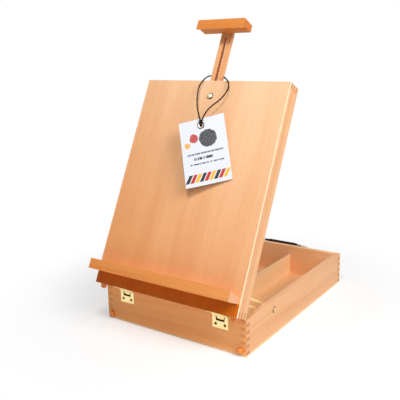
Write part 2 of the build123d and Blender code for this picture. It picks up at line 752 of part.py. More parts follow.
lid_leaf = hinge_to_lid * hinge_lid_leaf()
lid_leaf = without(lid_leaf, *lid_leaf_cutters)
lid_pieces = {
    "lid_panel": [lid_panel],
    "lid_near_wall": [lid_near_wall],
    "lid_top_wall": [lid_top_wall],
    "lid_right_wall": [lid_side],
    "lid_left_wall": [mirrored(lid_side)],
    "lid_feet": lid_feet,
    "canvas_ledge": [canvas_ledge],
    "ledge_screws": ledge_screws(screw),
    "hinge_lid_leaf_right": [lid_leaf],
    "hinge_lid_leaf_left": [mirrored(lid_leaf)],
    "stay_pivot_screws": [stay_pivot_screw(), mirrored(stay_pivot_screw())],
    "latch_rivets": [latch_rivet_right, mirrored(latch_rivet_right)],
    "mast_bolt": [mast_bolt],
    "mast_washer": [mast_washer],
    "mast_wing_nut": [mast_wing_nut],
    "mast": [mast],
    "head_block": [head_block],
    "head_screws": head_screws(screw),
    "tag_card": [tag_card],
    "tag_eyelet": [tag_eyelet],
    "tag_knot": [tag_knot],
    "tag_cord": [tag_cord],
}
for name, solids in lid_pieces.items():
    pieces[name] = [place_on_lid(solid) for solid in solids]

os.makedirs("parts", exist_ok=True)
for name, solids in pieces.items():
    save(name, *solids)
print("stay slope", round(degrees(stay_slope), 2), "slot", round(stay_slot_width, 2), "wander", round(stay_wander, 2))
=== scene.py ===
import math

import bmesh
import bpy
from mathutils import Matrix, Vector


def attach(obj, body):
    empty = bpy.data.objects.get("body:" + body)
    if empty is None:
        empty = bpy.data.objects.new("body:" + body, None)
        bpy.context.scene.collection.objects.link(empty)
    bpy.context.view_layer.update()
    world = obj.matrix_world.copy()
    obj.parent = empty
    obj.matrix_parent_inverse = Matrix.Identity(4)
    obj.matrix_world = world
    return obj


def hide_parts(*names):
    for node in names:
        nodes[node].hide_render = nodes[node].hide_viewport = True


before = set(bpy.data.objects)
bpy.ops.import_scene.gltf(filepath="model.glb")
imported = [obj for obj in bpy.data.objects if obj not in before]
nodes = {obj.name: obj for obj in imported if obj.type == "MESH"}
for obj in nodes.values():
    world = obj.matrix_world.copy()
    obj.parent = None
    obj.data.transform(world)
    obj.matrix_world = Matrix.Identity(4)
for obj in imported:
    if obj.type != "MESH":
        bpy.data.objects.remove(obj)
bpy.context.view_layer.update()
MM = 0.001


def link_object(name, data):
    """A new object of this name in the scene."""
    made = bpy.data.objects.new(name, data)
    bpy.context.scene.collection.objects.link(made)
    return made


# ---------------------------------------------------------------- where the lid lies
LID_ANGLE = math.radians(63.4)
LID_RIM = Vector((0, -200, 64.5)) * MM
HINGE_STANDS_OFF = 2 * MM
LID_SLOPE = Vector((0, math.cos(LID_ANGLE), math.sin(LID_ANGLE)))
LID_OUTWARD = Vector((0, -math.sin(LID_ANGLE), math.cos(LID_ANGLE)))
ACROSS = Vector((1, 0, 0))
lid_frame = Matrix((ACROSS, LID_SLOPE, LID_OUTWARD)).transposed().to_4x4()
lid_frame.translation = LID_RIM + HINGE_STANDS_OFF * LID_SLOPE


# ---------------------------------------------------------------- camera
def set_camera():
    """The one camera, in front of the lid and a little to the right."""
    place = Vector((0.60355, -0.97924, 0.48384))
    forward = Vector((-0.55203, 0.79993, -0.23531)).normalized()
    right = Vector((0.82546, 0.56414, -0.01871))
    right = (right - right.dot(forward) * forward).normalized()
    up = right.cross(forward)
    stand = Matrix((right, up, -forward)).transposed().to_4x4()
    stand.translation = place
    camera = link_object("studio_camera", bpy.data.cameras.new("studio_camera"))
    camera.data.sensor_width = 36
    camera.data.lens = 54.70
    camera.matrix_world = stand
    bpy.context.scene.camera = camera


set_camera()
bpy.context.scene.view_settings.view_transform = "Standard"

# ---------------------------------------------------------------- the tag's cord
# Points in lid coordinates: across, along the lid from its near edge, and above its rim.
CORD_ROUTE = [
    (5.1, 312.9, 52.8),
    (-6.5, 329.0, 49.8),
    (-15.8, 346.5, 46.8),
    (-21.8, 364.0, 43.6),
    (-25.4, 379.5, 40.1),
    (-24.0, 392.6, 36.6),
    (-20.6, 401.0, 33.2),
    (-17.6, 407.0, 28.2),
    (-16.5, 409.8, 22.3),
    (-12.4, 410.2, 18.3),
    (-5.0, 409.6, 17.8),
    (2.0, 408.8, 17.8),
    (9.2, 407.8, 18.3),
    (13.3, 406.8, 22.3),
    (14.8, 405.0, 27.8),
    (19.9, 401.6, 31.6),
    (27.6, 396.6, 34.7),
    (34.9, 387.6, 37.0),
    (36.9, 376.6, 39.5),
    (33.6, 363.9, 42.2),
    (27.0, 354.0, 44.1),
    (18.6, 345.4, 45.7),
    (11.7, 336.4, 47.6),
    (8.2, 325.6, 49.8),
    (7.6, 313.2, 52.8),
]
CORD_DIAMETER = 2.2 * MM


def route_line(points):
    """The points of the smooth line that a cord of this route lies on."""
    curve = bpy.data.curves.new("route", "CURVE")
    curve.dimensions = "3D"
    curve.resolution_u = 24
    spline = curve.splines.new("NURBS")
    spline.points.add(len(points) - 1)
    for control, point in zip(spline.points, points):
        control.co = (*(lid_frame @ (Vector(point) * MM)), 1)
    spline.order_u = 3
    spline.use_endpoint_u = True
    holder = link_object("route", curve)
    bpy.context.view_layer.update()
    line = bpy.data.meshes.new_from_object(holder)
    found = [vertex.co.copy() for vertex in line.vertices]
    bpy.data.objects.remove(holder)
    bpy.data.curves.remove(curve)
    bpy.data.meshes.remove(line)
    return found


def spaced(points, step):
    """The same line in equal steps."""
    reach = [0.0]
    for before, here in zip(points, points[1:]):
        reach.append(reach[-1] + (here - before).length)
    count = max(2, round(reach[-1] / step))
    laid = []
    leg = 0
    for index in range(count + 1):
        goal = reach[-1] * index / count
        while leg < len(points) - 2 and reach[leg + 1] < goal:
            leg += 1
        share = (goal - reach[leg]) / max(reach[leg + 1] - reach[leg], 1e-12)
        laid.append(points[leg].lerp(points[leg + 1], min(share, 1.0)))
    return laid


def carried_frames(points):
    """A side and an upright at each point of a line, without any twist of their own."""
    side = None
    frames = []
    for index, point in enumerate(points):
        ahead = points[min(index + 1, len(points) - 1)]
        behind = points[max(index - 1, 0)]
        course = (ahead - behind).normalized()
        if side is None:
            side = course.orthogonal()
        side = (side - side.dot(course) * course).normalized()
        frames.append((point, side, course.cross(side)))
    return frames


def add_tube(mesh, points, radius, sides=8, closed=False):
    """A round strand along the points, added to an open bmesh."""
    turns = [2 * math.pi * step / sides for step in range(sides)]
    rings = []
    for point, side, upright in carried_frames(points):
        ways = [math.cos(turn) * side + math.sin(turn) * upright for turn in turns]
        rings.append([mesh.verts.new(point + radius * way) for way in ways])
    pairs = list(zip(rings, rings[1:]))
    if closed:
        first, last = rings[0], rings[-1]

        def gap(shift):
            """How far the end rings stand apart when one is turned by so many corners."""
            return sum((last[i].co - first[(i + shift) % sides].co).length for i in range(sides))

        shift = min(range(sides), key=gap)
        pairs.append((last, first[shift:] + first[:shift]))
    for low, high in pairs:
        for step in range(sides):
            near = (step + 1) % sides
            mesh.faces.new((low[step], low[near], high[near], high[step]))
    if not closed:
        mesh.faces.new(rings[0][::-1])
        mesh.faces.new(rings[-1])


def close_ring(mesh, rounds):
    """Faces between outlines that stand in a ring, the last one joined to the first."""
    for here, there in zip(rounds, rounds[1:] + rounds[:1]):
        for index in range(len(here)):
            after = (index + 1) % len(here)
            mesh.faces.new((here[index], there[index], there[after], here[after]))


def mesh_object(name, mesh, smooth=True):
    """Closes a bmesh into an object."""
    bmesh.ops.recalc_face_normals(mesh, faces=mesh.faces)
    data = bpy.data.meshes.new(name)
    mesh.to_mesh(data)
    mesh.free()
    if smooth:
        data.shade_smooth()
    else:
        data.shade_flat()
    return link_object(name, data)


def make_tag_cord():
    """A cord of three thin strands laid round each other."""
    line = spaced(route_line(CORD_ROUTE), 0.5 * MM)
    strands = 3
    strand_radius = 0.68 * MM
    lay_radius = CORD_DIAMETER / 2 - 0.5 * MM
    lay_length = 6.0 * MM
    mesh = bmesh.new()
    for strand in range(strands):
        strand_line = []
        travelled = 0.0
        for index, (point, side, upright) in enumerate(carried_frames(line)):
            if index:
                travelled += (point - line[index - 1]).length
            turn = 2 * math.pi * (travelled / lay_length + strand / strands)
            way = math.cos(turn) * side + math.sin(turn) * upright
            strand_line.append(point + lay_radius * way)
        add_tube(mesh, strand_line, strand_radius, sides=7)
    cord = mesh_object("tag_cord_strands", mesh)
    length = sum((here - before).length for before, here in zip(line, line[1:]))
    return cord, line, length


tag_cord, cord_line, cord_length = make_tag_cord()


# ---------------------------------------------------------------- node helpers
def set_socket(tree, socket, value):
    """An input takes a plain value, or the socket that feeds it."""
    if isinstance(value, bpy.types.NodeSocket):
        tree.links.new(value, socket)
    else:
        socket.default_value = value


def put(tree, kind, inputs=None, **settings):
    """A node with its settings and inputs."""
    node = tree.nodes.new(kind)
    for name, value in settings.items():
        setattr(node, name, value)
    for name, value in (inputs or {}).items():
        set_socket(tree, node.inputs[name], value)
    return node


def calc(tree, operation, *terms):
    """The result of one Math node."""
    return put(tree, "ShaderNodeMath", dict(enumerate(terms)), operation=operation).outputs[0]


def times(tree, one, other):
    """One value or mask scaled by another."""
    return calc(tree, "MULTIPLY", one, other)


def vector_node(tree, operation, terms):
    """The results of one Vector Math node."""
    return put(tree, "ShaderNodeVectorMath", dict(enumerate(terms)), operation=operation).outputs


def vector_calc(tree, operation, *terms):
    """The vector that one Vector Math node gives."""
    return vector_node(tree, operation, terms)["Vector"]


def dot(tree, one, other):
    """How far one vector reaches along the other."""
    return vector_node(tree, "DOT_PRODUCT", (one, other))["Value"]


def length_of(tree, vector):
    """The length of a vector."""
    return vector_node(tree, "LENGTH", (vector,))["Value"]


def clamped(tree, value):
    """The same value, held between 0 and 1."""
    return put(tree, "ShaderNodeClamp", {"Value": value}).outputs[0]


def rise(tree, value, low, high, start=0.0, end=1.0):
    """A smooth rise from start to end while the value goes from low to high."""
    limits = {"Value": value, "From Min": low, "From Max": high, "To Min": start, "To Max": end}
    return put(tree, "ShaderNodeMapRange", limits, interpolation_type="SMOOTHSTEP").outputs[0]


def band(tree, value, low, high, blur):
    """1 from low to high and 0 outside, with a soft edge inside each end."""
    return times(tree, rise(tree, value, low, low + blur), rise(tree, value, high, high - blur))


def mix(tree, share, one, other, blend_type="MIX"):
    """One colour laid over another."""
    fed = {0: share, 6: one, 7: other}
    return put(tree, "ShaderNodeMix", fed, data_type="RGBA", blend_type=blend_type).outputs[2]


def stretched(tree, vector, along, across, through):
    """Coordinates scaled apart in three directions."""
    return vector_calc(tree, "MULTIPLY", vector, (along, across, through))


def cloud(tree, vector, scale=1.0, detail=2.0, roughness=0.5):
    """Soft noise from 0 to 1."""
    fed = {"Vector": vector, "Scale": scale, "Detail": detail, "Roughness": roughness}
    return put(tree, "ShaderNodeTexNoise", fed).outputs["Fac"]


def group(name, takes, gives, fill):
    """A node group that fill fills. takes lists (name, kind, value), gives lists (name, kind)."""
    tree = bpy.data.node_groups.new(name, "ShaderNodeTree")
    for label, kind, value in takes:
        socket = tree.interface.new_socket(label, in_out="INPUT", socket_type="NodeSocket" + kind)
        socket.default_value = value
    for label, kind in gives:
        tree.interface.new_socket(label, in_out="OUTPUT", socket_type="NodeSocket" + kind)
    entry = tree.nodes.new("NodeGroupInput")
    outlet = tree.nodes.new("NodeGroupOutput")
    for label, socket in fill(tree, entry.outputs).items():
        tree.links.new(socket, outlet.inputs[label])
    return tree


def use(tree, made_group, **fed):
    """A group placed in a material with its own values. Names are written with _ for a space."""
    node = tree.nodes.new("ShaderNodeGroup")
    node.node_tree = made_group
    for name, value in fed.items():
        set_socket(tree, node.inputs[name.replace("_", " ")], value)
    return node.outputs


def colour(red, green, blue):
    """A colour as it looks on a screen, 0 to 255, turned to the light values of a socket."""
    shares = [value / 255 for value in (red, green, blue)]
    return (*[s / 12.92 if s <= 0.04045 else ((s + 0.055) / 1.055) ** 2.4 for s in shares], 1)


# ---------------------------------------------------------------- shared effects
def fill_board_lie(tree, given):
    """Where a spot lies in its board, and which of the board's faces it is on."""
    place = given["Place"]
    facing = given["Facing"]
    laid = put(
        tree,
        "ShaderNodeCombineXYZ",
        {
            "X": dot(tree, place, given["Grain Way"]),
            "Y": dot(tree, place, given["Width Way"]),
            "Z": dot(tree, place, given["Thick Way"]),
        },
    ).outputs[0]
    end = calc(tree, "ABSOLUTE", dot(tree, facing, given["Grain Way"]))
    side = calc(tree, "ABSOLUTE", dot(tree, facing, given["Thick Way"]))
    return {
        "Board Place": vector_calc(tree, "ADD", laid, given["Cut From"]),
        "End Grain": rise(tree, end, 0.62, 0.85),
        "Side Face": rise(tree, side, 0.85, 0.62),
    }


board_lie = group(
    "board_lie",
    [
        ("Place", "Vector", (0, 0, 0)),
        ("Facing", "Vector", (0, 0, 1)),
        ("Grain Way", "Vector", (1, 0, 0)),
        ("Width Way", "Vector", (0, 0, 1)),
        ("Thick Way", "Vector", (0, 1, 0)),
        ("Cut From", "Vector", (0, 0, 0)),
    ],
    [("Board Place", "Vector"), ("End Grain", "Float"), ("Side Face", "Float")],
    fill_board_lie,
)


def fill_beech(tree, given):
    """Beech: bands, streaks, fibres and dark flecks along it, rings and pores on its ends."""
    place = given["Board Place"]
    wander = cloud(tree, stretched(tree, place, 3.0, 9.0, 9.0), detail=1.0)
    shift = put(tree, "ShaderNodeCombineXYZ", {"Y": times(tree, wander, 0.02)}).outputs[0]
    bent = vector_calc(tree, "ADD", place, shift)
    bands = rise(tree, cloud(tree, stretched(tree, bent, 1.6, 34.0, 26.0), detail=2.5), 0.3, 0.72)
    streaks = cloud(tree, stretched(tree, bent, 7.0, 230.0, 210.0), detail=3.0, roughness=0.6)
    fibres = cloud(tree, stretched(tree, bent, 55.0, 2100.0, 1900.0), detail=2.0)
    cells = put(
        tree,
        "ShaderNodeTexVoronoi",
        {"Vector": stretched(tree, bent, 240.0, 1250.0, 1250.0), "Scale": 1.0, "Randomness": 1.0},
    )
    chosen = put(tree, "ShaderNodeSeparateColor", {"Color": cells.outputs["Color"]}).outputs[0]
    in_cell = rise(tree, cells.outputs["Distance"], 0.42, 0.16)
    fleck = times(tree, in_cell, calc(tree, "GREATER_THAN", chosen, 0.35))
    streak_share = times(tree, rise(tree, streaks, 0.32, 0.75), given["Streaks"])
    depth = calc(tree, "ADD", times(tree, bands, given["Figure"]), streak_share)
    face = mix(tree, clamped(tree, depth), given["Pale Wood"], given["Deep Wood"])
    face = mix(tree, times(tree, rise(tree, fibres, 0.35, 0.7), 0.16), face, given["Deep Wood"])
    fleck_share = times(tree, fleck, given["Flecks"])
    face = mix(tree, fleck_share, face, mix(tree, 1.0, face, (0.66, 0.52, 0.42, 1), "MULTIPLY"))
    # across the end of a board: yearly rings and open pores
    heart = vector_calc(tree, "ADD", place, (0.0, 0.11, 0.07))
    reach = length_of(tree, stretched(tree, heart, 0.0, 1.0, 1.0))
    rings = calc(tree, "SINE", times(tree, reach, 2900.0))
    pores = cloud(tree, stretched(tree, place, 400.0, 1700.0, 1700.0), detail=3.0)
    ring_share = calc(tree, "MULTIPLY_ADD", rings, 0.12, rise(tree, pores, 0.35, 0.7, 0.1, 0.8))
    dark_end = mix(tree, 1.0, given["End Wood"], (0.84, 0.76, 0.68, 1), "MULTIPLY")
    end_face = mix(tree, clamped(tree, ring_share), given["End Wood"], dark_end)
    body = mix(tree, given["End Grain"], face, end_face)
    smooth = calc(tree, "MULTIPLY_ADD", fibres, 0.16, 0.44)
    smooth = calc(tree, "MULTIPLY_ADD", given["End Grain"], 0.16, smooth)
    rough = calc(tree, "MULTIPLY_ADD", fleck, 0.06, smooth)
    height = calc(tree, "MULTIPLY_ADD", fibres, 0.6, times(tree, fleck, -0.35))
    end_height = times(tree, pores, 0.9)
    heights = {0: given["End Grain"], 2: height, 3: end_height}
    relief = put(tree, "ShaderNodeMix", heights).outputs[0]
    return {"Color": body, "Roughness": rough, "Height": relief}


beech = group(
    "beech_grain",
    [
        ("Board Place", "Vector", (0, 0, 0)),
        ("Pale Wood", "Color", colour(236, 188, 142)),
        ("Deep Wood", "Color", colour(205, 142, 92)),
        ("End Wood", "Color", colour(205, 142, 92)),
        ("Figure", "Float", 0.5),
        ("Streaks", "Float", 0.34),
        ("Flecks", "Float", 0.5),
        ("End Grain", "Float", 0.0),
    ],
    [("Color", "Color"), ("Roughness", "Float"), ("Height", "Float")],
    fill_beech,
)


def fill_ply_edge(tree, given):
    """The edge of three-layer plywood: a core of end grain, its two faces and the glue lines."""
    share = given["Depth Share"]
    inner = band(tree, share, 0.26, 0.74, 0.04)
    speckle = cloud(tree, given["Place"], 900.0, 3.0)
    long_lines = cloud(tree, stretched(tree, given["Place"], 60.0, 60.0, 900.0), detail=2.0)
    core = mix(tree, rise(tree, speckle, 0.3, 0.7), given["Layer"], given["Core"])
    face = mix(tree, rise(tree, long_lines, 0.3, 0.75), given["Layer"], given["Core"])
    face = mix(tree, 0.6, face, given["Layer"])
    line = calc(tree, "COMPARE", share, 0.28, 0.02)
    other_line = calc(tree, "COMPARE", share, 0.72, 0.02)
    glue = times(tree, calc(tree, "MAXIMUM", line, other_line), 0.35)
    edge = mix(tree, glue, mix(tree, inner, face, core), (0.3, 0.17, 0.09, 1))
    height = mix(tree, inner, (0.6, 0.6, 0.6, 1), speckle)
    return {"Color": edge, "Height": times(tree, height, 0.8)}


ply_edge = group(
    "ply_edge",
    [
        ("Place", "Vector", (0, 0, 0)),
        ("Depth Share", "Float", 0.5),
        ("Layer", "Color", colour(250, 226, 180)),
        ("Core", "Color", colour(226, 184, 134)),
    ],
    [("Color", "Color"), ("Height", "Float")],
    fill_ply_edge,
)


def fill_edge_wear(tree, given):
    """Edges rubbed to another tone, in broken stretches."""
    softened = put(tree, "ShaderNodeBevel", {"Radius": given["Width"]}, samples=4).outputs["Normal"]
    true_facing = put(tree, "ShaderNodeNewGeometry").outputs["Normal"]
    bend = calc(tree, "SUBTRACT", 1.0, dot(tree, softened, true_facing))
    broken = cloud(tree, given["Place"], 130.0, 3.0)
    worn = times(tree, rise(tree, bend, 0.02, 0.2), rise(tree, broken, 0.3, 0.62))
    worn = times(tree, worn, given["Wear"])
    return {"Color": mix(tree, worn, given["Color"], given["Worn Color"])}


edge_wear = group(
    "edge_wear",
    [
        ("Place", "Vector", (0, 0, 0)),
        ("Color", "Color", (0.5, 0.5, 0.5, 1)),
        ("Worn Color", "Color", (0.8, 0.8, 0.8, 1)),
        ("Width", "Float", 0.0008),
        ("Wear", "Float", 0.4),
    ],
    [("Color", "Color")],
    fill_edge_wear,
)


def fill_handling(tree, given):
    """Soft marks of use that change the tone and the gloss."""
    soft = cloud(tree, given["Place"], 17.0, 4.0, 0.62)
    fine = cloud(tree, given["Place"], 210.0, 3.0)
    marks = calc(tree, "MULTIPLY_ADD", fine, 0.3, times(tree, soft, 0.7))
    shade = rise(tree, marks, 0.3, 0.72)
    tone = mix(tree, times(tree, shade, given["Amount"]), given["Color"], given["Shade"])
    change = times(tree, calc(tree, "SUBTRACT", shade, 0.5), given["Gloss Change"])
    return {"Color": tone, "Roughness": calc(tree, "ADD", given["Roughness"], change)}


handling = group(
    "handling_marks",
    [
        ("Place", "Vector", (0, 0, 0)),
        ("Color", "Color", (0.5, 0.5, 0.5, 1)),
        ("Shade", "Color", (0.3, 0.3, 0.3, 1)),
        ("Amount", "Float", 0.15),
        ("Roughness", "Float", 0.5),
        ("Gloss Change", "Float", 0.1),
    ],
    [("Color", "Color"), ("Roughness", "Float")],
    fill_handling,
)


def fill_rolled_metal(tree, given):
    """Metal with fine lines from the rolls and dull blotches."""
    lines = cloud(tree, vector_calc(tree, "MULTIPLY", given["Place"], given["Rolled"]), 1.0, 3.0)
    blotch = cloud(tree, given["Place"], 70.0, 4.0, 0.6)
    tone = mix(tree, rise(tree, blotch, 0.42, 0.8, 0.0, 0.4), given["Bright"], given["Dull"])
    tone = mix(tree, rise(tree, lines, 0.3, 0.75, 0.0, 0.25), tone, given["Dull"])
    rough = calc(tree, "MULTIPLY_ADD", blotch, 0.16, given["Polish"])
    rough = calc(tree, "MULTIPLY_ADD", lines, 0.1, rough)
    return {"Color": tone, "Roughness": rough, "Height": lines}


rolled_metal = group(
    "rolled_metal",
    [
        ("Place", "Vector", (0, 0, 0)),
        ("Bright", "Color", (0.9, 0.8, 0.5, 1)),
        ("Dull", "Color", (0.7, 0.55, 0.3, 1)),
        ("Rolled", "Vector", (80, 3000, 3000)),
        ("Polish", "Float", 0.16),
    ],
    [("Color", "Color"), ("Roughness", "Float"), ("Height", "Float")],
    fill_rolled_metal,
)


# ---------------------------------------------------------------- finishes
def new_finish(name):
    """A material with its shader, and the places and facings on the piece that wears it."""
    finish = bpy.data.materials.new(name)
    finish.use_nodes = True
    tree = finish.node_tree
    shader = tree.nodes["Principled BSDF"]
    spot = put(tree, "ShaderNodeTexCoord")
    return finish, tree, shader, spot.outputs["Object"], spot.outputs["Normal"]


def feed(tree, shader, **sockets):
    """Feeds the shader's inputs. Names are written with _ for a space."""
    for name, value in sockets.items():
        set_socket(tree, shader.inputs[name.replace("_", " ")], value)


def emboss(tree, shader, height, strength, distance):
    """A bump for the relief: how strong it is, and how high in metres."""
    fed = {"Strength": strength, "Distance": distance, "Height": height}
    bump = put(tree, "ShaderNodeBump", fed)
    tree.links.new(bump.outputs["Normal"], shader.inputs["Normal"])


WORLD_X = (1, 0, 0)
WORLD_Y = (0, 1, 0)
WORLD_Z = (0, 0, 1)
SLOPE = tuple(LID_SLOPE)
OUTWARD = tuple(LID_OUTWARD)
# the way along which the panel is painted paler, as painted light from the high right
PAINTED_LIGHT_WAY = (0.45, 0.0, 0.9)

# where the mast's slot, the hinges and the pockets behind them lie
MAST_X = -1.6 * MM
HALF_SLOT = 3.0 * MM
HINGE_X = 101 * MM
HALF_POCKET = 9.4 * MM
POCKET_MOUTH = -197.9 * MM
POCKET_END = -194.4 * MM


def burnt_slot(tree, place, facing):
    """The walls of the mast's slot, painted darker as the shade inside the slot."""
    off_middle = calc(tree, "ABSOLUTE", calc(tree, "SUBTRACT", dot(tree, place, WORLD_X), MAST_X))
    routed = rise(tree, off_middle, HALF_SLOT + 0.5 * MM, HALF_SLOT)
    walls = rise(tree, calc(tree, "ABSOLUTE", dot(tree, facing, WORLD_X)), 0.3, 0.6)
    return times(tree, routed, walls), colour(190, 108, 54)


def dark_pockets(tree, place, _):
    """The two pockets behind the hinges' tongues, painted dark as the shade in them."""
    across = calc(tree, "ABSOLUTE", dot(tree, place, WORLD_X))
    off_hinge = calc(tree, "ABSOLUTE", calc(tree, "SUBTRACT", across, HINGE_X))
    behind = band(tree, dot(tree, place, WORLD_Y), POCKET_MOUTH, POCKET_END, 0.3 * MM)
    beside = rise(tree, off_hinge, HALF_POCKET + 0.4 * MM, HALF_POCKET)
    return times(tree, behind, beside), colour(64, 30, 14)


def lie_of(tree, place, facing, ways, cut):
    """How a board lies, by the ways of its grain, width and thickness and where it was cut."""
    grain, width, thick = ways
    return use(
        tree,
        board_lie,
        Place=place,
        Facing=facing,
        Grain_Way=grain,
        Width_Way=width,
        Thick_Way=thick,
        Cut_From=cut,
    )


def worn_skin(tree, place, skin, shade, marks, rough, rubbed, wear, width=0.8 * MM):
    """The colour and the roughness of a skin with marks of handling and worn edges.

    marks is how much handling changes the tone and the gloss.
    """
    amount, gloss_change = marks
    handled = use(
        tree,
        handling,
        Place=place,
        Color=skin,
        Shade=shade,
        Amount=amount,
        Roughness=rough,
        Gloss_Change=gloss_change,
    )
    worn = use(
        tree,
        edge_wear,
        Place=place,
        Color=handled["Color"],
        Worn_Color=rubbed,
        Width=width,
        Wear=wear,
    )
    return worn["Color"], handled["Roughness"]


def lacquer(shader, coat_roughness):
    """A thin clear lacquer over wood."""
    shader.inputs["Specular IOR Level"].default_value = 0.18
    shader.inputs["Coat Weight"].default_value = 0.02
    shader.inputs["Coat Roughness"].default_value = coat_roughness


def beech_finish(name, ways, cut, tones, figure=0.5, flecks=0.55, painted_shade=None):
    """Lacquered solid beech. The last argument gives the share and the tone of a painted shade laid
    over it.
    """
    pale, deep, end = tones
    finish, tree, shader, place, facing = new_finish(name)
    lie = lie_of(tree, place, facing, ways, cut)
    wood = use(
        tree,
        beech,
        Board_Place=lie["Board Place"],
        Pale_Wood=pale,
        Deep_Wood=deep,
        End_Wood=end,
        Figure=figure,
        Flecks=flecks,
        End_Grain=lie["End Grain"],
    )
    body = wood["Color"]
    # painted shade laid over the wood where the last argument says
    if painted_shade:
        painted_shade_share, painted_shade_tone = painted_shade(tree, place, facing)
        body = mix(tree, painted_shade_share, body, painted_shade_tone)
    rubbed = colour(246, 212, 170)
    skin, rough = worn_skin(
        tree, place, body, deep, (0.16, 0.12), wood["Roughness"], rubbed, 0.3, 0.9 * MM
    )
    feed(tree, shader, Base_Color=skin, Roughness=rough)
    emboss(tree, shader, wood["Height"], 0.18, 0.2 * MM)
    lacquer(shader, 0.28)
    return finish


def tone_along(tree, place, way, low, high, first, second):
    """One colour that turns into another along one way of a board."""
    return mix(tree, rise(tree, dot(tree, place, way), low, high), first, second)


def panel_tone(tree, place, painted_ledge_shadow, low_left, high_right):
    """The panel's tone: paler toward the high right as painted light, and a painted shadow deep in
    the strip under the ledge.
    """
    painted_light_tone = tone_along(tree, place, PAINTED_LIGHT_WAY, 0.02, 0.46, low_left, high_right)
    return tone_along(tree, place, SLOPE, -0.01, -0.006, painted_ledge_shadow, painted_light_tone)


def ply_finish(name, ways, cut, pale, deep, low, thickness, layer, wear=0.35):
    """Beech-faced plywood with layers on its edges. low is where its thickness starts.

    pale and deep are one colour each, or three: the painted shadow under the ledge, and the painted
    light's low left and high right.
    """
    finish, tree, shader, place, facing = new_finish(name)
    if len(pale) == 3:
        pale = panel_tone(tree, place, *pale)
        deep = panel_tone(tree, place, *deep)
    lie = lie_of(tree, place, facing, ways, cut)
    wood = use(
        tree,
        beech,
        Board_Place=lie["Board Place"],
        Pale_Wood=pale,
        Deep_Wood=deep,
        Figure=0.4,
        Streaks=0.2,
        Flecks=0.4,
    )
    through = calc(tree, "SUBTRACT", dot(tree, place, ways[2]), low)
    depth = calc(tree, "DIVIDE", through, thickness)
    edge = use(tree, ply_edge, Place=lie["Board Place"], Depth_Share=depth, Layer=layer)
    both = mix(tree, lie["Side Face"], wood["Color"], edge["Color"])
    rubbed = colour(250, 222, 184)
    skin, rough = worn_skin(
        tree, place, both, deep, (0.12, 0.12), wood["Roughness"], rubbed, wear
    )
    feed(tree, shader, Base_Color=skin, Roughness=rough)
    reliefs = {0: lie["Side Face"], 2: wood["Height"], 3: edge["Height"]}
    emboss(tree, shader, put(tree, "ShaderNodeMix", reliefs).outputs[0], 0.25, 0.2 * MM)
    lacquer(shader, 0.3)
    return finish


def feed_metal(tree, shader, place, bright, dull, rubbed, rolled, polish, relief):
    """Feeds the shader metal with its edges rubbed. relief is how strong its lines stand out."""
    metal = use(
        tree, rolled_metal, Place=place, Bright=bright, Dull=dull, Rolled=rolled, Polish=polish
    )
    worn = use(
        tree, edge_wear, Place=place, Color=metal["Color"], Worn_Color=rubbed, Width=0.3 * MM
    )
    feed(tree, shader, Base_Color=worn["Color"], Roughness=metal["Roughness"], Metallic=1.0)
    emboss(tree, shader, metal["Height"], relief, 0.05 * MM)


UNROLLED = (900, 900, 900)


def metal_finish(name, bright, dull, rolled, polish):
    """Rolled or plated metal. rolled says how close its lines lie along X, Y and Z."""
    finish, tree, shader, place, _ = new_finish(name)
    feed_metal(tree, shader, place, bright, dull, bright, rolled, polish, 0.12)
    return finish


# the pale and the deep tone of a board, and the tone of its sawn ends
cross_tones = (colour(254, 188, 121), colour(231, 151, 87), colour(206, 140, 94))
side_tones = (colour(232, 183, 137), colour(214, 150, 102), colour(236, 160, 98))
far_tones = (colour(255, 206, 156), colour(242, 180, 126), colour(206, 140, 94))
ledge_tones = (colour(237, 162, 92), colour(206, 113, 46), colour(232, 176, 136))
mast_tones = (colour(234, 182, 130), colour(213, 139, 85), colour(213, 139, 85))
head_tones = (colour(229, 152, 78), colour(198, 108, 40), colour(206, 122, 62))

# the ways of grain, width and thickness
ACROSS_CASE = (WORLD_X, WORLD_Z, WORLD_Y)
ALONG_CASE = (WORLD_Y, WORLD_Z, WORLD_X)
IN_FLOOR = (WORLD_Y, WORLD_X, WORLD_Z)
ACROSS_LID = (WORLD_X, OUTWARD, SLOPE)
ALONG_LID = (SLOPE, OUTWARD, WORLD_X)
ACROSS_PANEL = (WORLD_X, SLOPE, OUTWARD)
UP_PANEL = (SLOPE, WORLD_X, OUTWARD)

near_board_beech = beech_finish(
    "beech_near_board", ACROSS_CASE, (0.4, 0.1, 0.3), cross_tones, painted_shade=dark_pockets
)
far_board_beech = beech_finish("beech_far_board", ACROSS_CASE, (0.8, 0.3, 0.2), far_tones)
side_board_beech = beech_finish("beech_side_boards", ALONG_CASE, (0.9, 0.5, 0.1), side_tones)
lid_cross_beech = beech_finish("beech_lid_cross_boards", ACROSS_LID, (0.2, 0.7, 0.5), cross_tones)
lid_side_beech = beech_finish("beech_lid_side_boards", ALONG_LID, (0.6, 0.2, 0.8), side_tones)
ledge_beech = beech_finish("beech_ledge", ACROSS_PANEL, (0.1, 0.9, 0.2), ledge_tones, 0.6, 0.5)
mast_beech = beech_finish(
    "beech_mast", UP_PANEL, (0.7, 0.3, 0.6), mast_tones, 0.55, 0.45, burnt_slot
)
head_beech = beech_finish("beech_clamp_head", ACROSS_PANEL, (0.3, 0.4, 0.9), head_tones, 0.6, 0.5)

